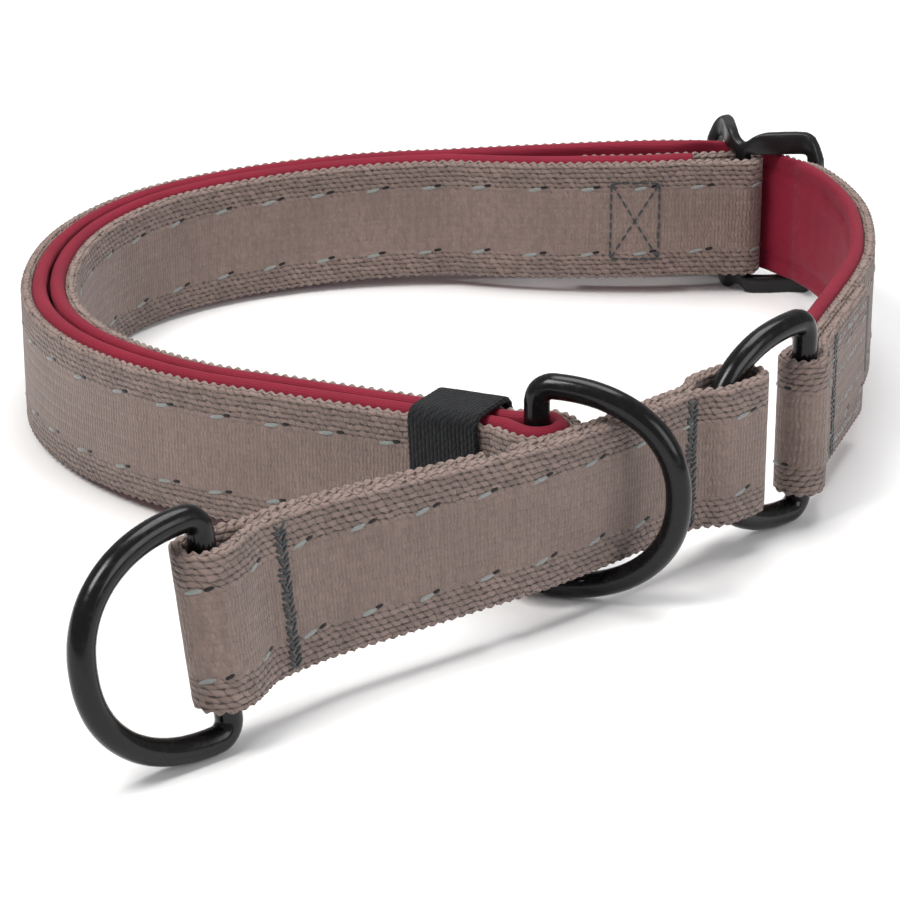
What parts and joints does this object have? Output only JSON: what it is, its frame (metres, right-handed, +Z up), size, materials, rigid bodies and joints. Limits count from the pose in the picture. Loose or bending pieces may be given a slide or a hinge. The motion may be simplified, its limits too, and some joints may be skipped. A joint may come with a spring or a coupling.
{
  "type": "martingale collar",
  "caption": "Padded webbing half-slip pet collar with a slider, a keeper band, a doubled control strap and D-rings, standing on its edge.",
  "frame": {"origin": "on the floor under the middle of the whole part", "axes": "+X to the right, +Y from the leash ring's end towards the back of the neck loop, +Z up"},
  "size_m": [0.1618, 0.2414, 0.0388],
  "materials": {
    "webbing_taupe": "woven",
    "lining_burgundy": "smooth knit",
    "ring_black": "gloss",
    "slider_black": "satin",
    "keeper_black": "woven",
    "thread_dark": "satin thread",
    "label_dark": "woven"
  },
  "bodies": {
    "collar": {"collar_webbing": "webbing_taupe", "collar_lining": "lining_burgundy", "box_stitch": "thread_dark", "collar_end_bartack": "thread_dark", "end_label": "label_dark"},
    "link_ring": {"link_ring": "ring_black"},
    "control": {"control_strap": "webbing_taupe", "leash_bartack_front": "thread_dark", "leash_bartack_back": "thread_dark", "link_bartack_front": "thread_dark", "link_bartack_back": "thread_dark"},
    "leash_ring": {"leash_ring": "ring_black"},
    "slide_ring": {"slide_ring": "ring_black"},
    "slider": {"slider": "slider_black"},
    "keeper": {"keeper_band": "keeper_black"}
  },
  "joints": [
    {"name": "link_ring_swing", "type": "hinge", "parent": "collar", "child": "link_ring", "pos_m": [0.05989, -0.01726, 0.01945], "axis": [0, 0, 1], "range_deg": [-2.5, 2.5]},
    {"name": "control_strap_turn", "type": "hinge", "parent": "link_ring", "child": "control", "pos_m": [0.04277, -0.03379, 0.01945], "axis": [0, 0, 1], "range_deg": [-4.4, 4.4]},
    {"name": "leash_ring_swing", "type": "hinge", "parent": "control", "child": "leash_ring", "pos_m": [-0.03518, -0.10245, 0.01932], "axis": [-0.1251, 0.0939, 0.9877], "range_deg": [-135, 135]},
    {"name": "slide_ring_swing", "type": "hinge", "parent": "collar", "child": "slide_ring", "pos_m": [0.01349, -0.04891, 0.01945], "axis": [0, 0, 1], "range_deg": [-55, 0.5]},
    {"name": "slider_rock", "type": "hinge", "parent": "collar", "child": "slider", "pos_m": [0.05979, 0.10444, 0.0164], "axis": [0, 0, 1], "range_deg": [-3, 3]},
    {"name": "keeper_slide", "type": "slide", "parent": "collar", "child": "keeper", "axis": [-0.8682, 0.4935, -0.052], "range_m": [0, 0.014]}
  ],
  "couplings": [
    {"joint": "control_strap_turn", "follows": "link_ring_swing", "ratio": -1.75}
  ]
}
